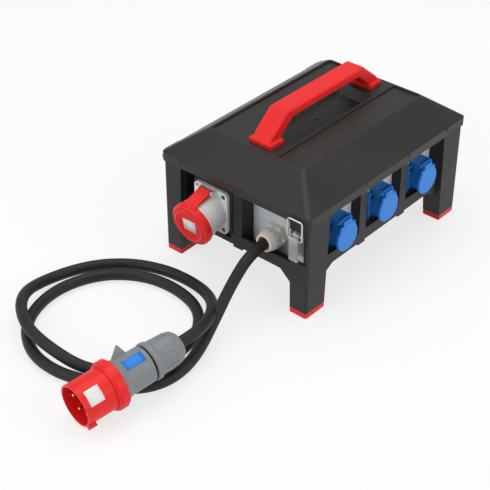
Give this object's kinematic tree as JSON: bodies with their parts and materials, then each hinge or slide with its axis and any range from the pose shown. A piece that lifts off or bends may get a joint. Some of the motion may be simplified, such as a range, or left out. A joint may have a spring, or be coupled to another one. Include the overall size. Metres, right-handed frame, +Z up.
{
  "type": "portable power distribution box",
  "caption": "Black box on four red-capped legs with a hinged hood, red carrying handle, red five-pole outlet, blue earthed outlets and a rubber lead with a five-pole plug.",
  "frame": {"origin": "on the floor, under the middle of the box's own bounding box, without its lead and plug", "axes": "+Z up, X along the long side with the lead's gland and the five-pole outlet at the -X end, the earthed outlets face -Y"},
  "size_m": [0.8054, 0.3709, 0.27],
  "materials": {
    "black_moulding": "fine textured matte",
    "black_hood": "fine textured, a little glossier in the trays",
    "red_moulding": "satin",
    "grey_panel": "satin",
    "blue_moulding": "satin",
    "blue_insert": "satin",
    "blue_lid": "satin",
    "pale_moulding": "satin",
    "gland_plastic": "satin",
    "gland_rubber": "matte",
    "steel": "plain",
    "zinc_steel": "zinc plated",
    "dark_screw": "dark",
    "black_rubber": "matte",
    "cord_rubber": "matte, slightly ribbed",
    "grey_plug": "satin",
    "device_plastic": "satin",
    "brass": "nickel-free, turned"
  },
  "bodies": {
    "base": {"base_frame": "black_moulding", "foot_cap_front_left": "red_moulding", "foot_cap_front_right": "red_moulding", "foot_cap_rear_left": "red_moulding", "foot_cap_rear_right": "red_moulding", "socket_panel_1": "grey_panel", "socket_panel_2": "grey_panel", "socket_panel_3": "grey_panel", "blank_panels": "grey_panel", "socket_housing_1": "blue_moulding", "socket_insert_1": "blue_insert", "socket_housing_2": "blue_moulding", "socket_insert_2": "blue_insert", "socket_housing_3": "blue_moulding", "socket_insert_3": "blue_insert", "socket_lid_pins": "steel", "socket_screws": "dark_screw", "outlet_plinth": "black_moulding", "outlet_housing": "pale_moulding", "outlet_insert": "pale_moulding", "outlet_lid_pin": "steel", "outlet_screws": "steel", "gland_panel": "grey_panel", "gland_body": "gland_plastic", "gland_cap": "gland_plastic", "gland_seal": "gland_rubber", "gland_locknut": "gland_plastic", "latch_left_plate": "zinc_steel", "latch_right_plate": "zinc_steel", "hood_gasket": "black_rubber", "hinge_leaves_base": "black_moulding", "hinge_pins": "steel", "din_rail": "zinc_steel", "rcd_body": "device_plastic", "breaker_bodies": "device_plastic", "supply_cord": "cord_rubber", "plug_shroud": "red_moulding", "plug_pins": "brass", "plug_body": "grey_plug", "plug_seal_ring": "black_rubber", "plug_nut": "grey_plug"},
    "hood": {"hood": "black_hood", "handle": "red_moulding", "handle_screws": "steel", "latch_keepers": "black_moulding", "hinge_leaves_hood": "black_moulding"},
    "latch_left_lever": {"latch_left_lever": "zinc_steel"},
    "latch_left_bail": {"latch_left_bail": "steel"},
    "latch_right_lever": {"latch_right_lever": "zinc_steel"},
    "latch_right_bail": {"latch_right_bail": "steel"},
    "outlet_lid": {"outlet_lid": "red_moulding"},
    "rcd_lever": {"rcd_lever": "blue_insert"},
    "rcd_test_button": {"rcd_test_button": "device_plastic"},
    "socket_lid_1": {"socket_lid_1": "blue_lid"},
    "breaker_lever_1": {"breaker_lever_1": "dark_screw"},
    "socket_lid_2": {"socket_lid_2": "blue_lid"},
    "breaker_lever_2": {"breaker_lever_2": "dark_screw"},
    "socket_lid_3": {"socket_lid_3": "blue_lid"},
    "breaker_lever_3": {"breaker_lever_3": "dark_screw"}
  },
  "joints": [
    {"name": "hood_hinge", "type": "hinge", "parent": "base", "child": "hood", "pos_m": [0.01911, 0.14985, 0.168], "axis": [-1, 0, 0], "range_deg": [0, 100]},
    {"name": "latch_left_lever_pivot", "type": "hinge", "parent": "base", "child": "latch_left_lever", "pos_m": [-0.18429, -0.12865, 0.1505], "axis": [0, 1, 0], "range_deg": [0, 100]},
    {"name": "latch_left_bail_pivot", "type": "hinge", "parent": "latch_left_lever", "child": "latch_left_bail", "pos_m": [-0.18729, -0.12865, 0.1435], "axis": [0, 1, 0], "range_deg": [-122, 2]},
    {"name": "latch_right_lever_pivot", "type": "hinge", "parent": "base", "child": "latch_right_lever", "pos_m": [0.22251, -0.12865, 0.1505], "axis": [0, -1, 0], "range_deg": [0, 100]},
    {"name": "latch_right_bail_pivot", "type": "hinge", "parent": "latch_right_lever", "child": "latch_right_bail", "pos_m": [0.22551, -0.12865, 0.1435], "axis": [0, -1, 0], "range_deg": [-122, 2]},
    {"name": "socket_lid_1_hinge", "type": "hinge", "parent": "base", "child": "socket_lid_1", "pos_m": [-0.08689, -0.14415, 0.134], "axis": [-1, 0, 0], "range_deg": [0, 105], "stiffness_Nm_per_rad": 0.015, "springref_deg": -45.84},
    {"name": "socket_lid_2_hinge", "type": "hinge", "parent": "base", "child": "socket_lid_2", "pos_m": [0.01911, -0.14415, 0.134], "axis": [-1, 0, 0], "range_deg": [0, 105], "stiffness_Nm_per_rad": 0.015, "springref_deg": -45.84},
    {"name": "socket_lid_3_hinge", "type": "hinge", "parent": "base", "child": "socket_lid_3", "pos_m": [0.12511, -0.14415, 0.134], "axis": [-1, 0, 0], "range_deg": [0, 105], "stiffness_Nm_per_rad": 0.015, "springref_deg": -45.84},
    {"name": "outlet_lid_hinge", "type": "hinge", "parent": "base", "child": "outlet_lid", "pos_m": [-0.18489, 0.05035, 0.1505], "axis": [0, 1, 0], "range_deg": [0, 95], "stiffness_Nm_per_rad": 0.05, "springref_deg": -68.75},
    {"name": "rcd_lever_pivot", "type": "hinge", "parent": "base", "child": "rcd_lever", "pos_m": [-0.03089, -0.00365, 0.1885], "axis": [1, 0, 0], "range_deg": [0, 50]},
    {"name": "rcd_test_button_travel", "type": "slide", "parent": "base", "child": "rcd_test_button", "axis": [0, 0, -1], "range_m": [0, 0.0015], "stiffness_N_per_m": 300, "springref_m": -0.0005},
    {"name": "breaker_lever_1_pivot", "type": "hinge", "parent": "base", "child": "breaker_lever_1", "pos_m": [0.04301, -0.00365, 0.1885], "axis": [1, 0, 0], "range_deg": [0, 50]},
    {"name": "breaker_lever_2_pivot", "type": "hinge", "parent": "base", "child": "breaker_lever_2", "pos_m": [0.06081, -0.00365, 0.1885], "axis": [1, 0, 0], "range_deg": [0, 50]},
    {"name": "breaker_lever_3_pivot", "type": "hinge", "parent": "base", "child": "breaker_lever_3", "pos_m": [0.07861, -0.00365, 0.1885], "axis": [1, 0, 0], "range_deg": [0, 50]}
  ],
  "couplings": [
    {"joint": "latch_left_bail_pivot", "follows": "latch_left_lever_pivot", "ratio": -1.2},
    {"joint": "latch_right_bail_pivot", "follows": "latch_right_lever_pivot", "ratio": -1.2}
  ]
}
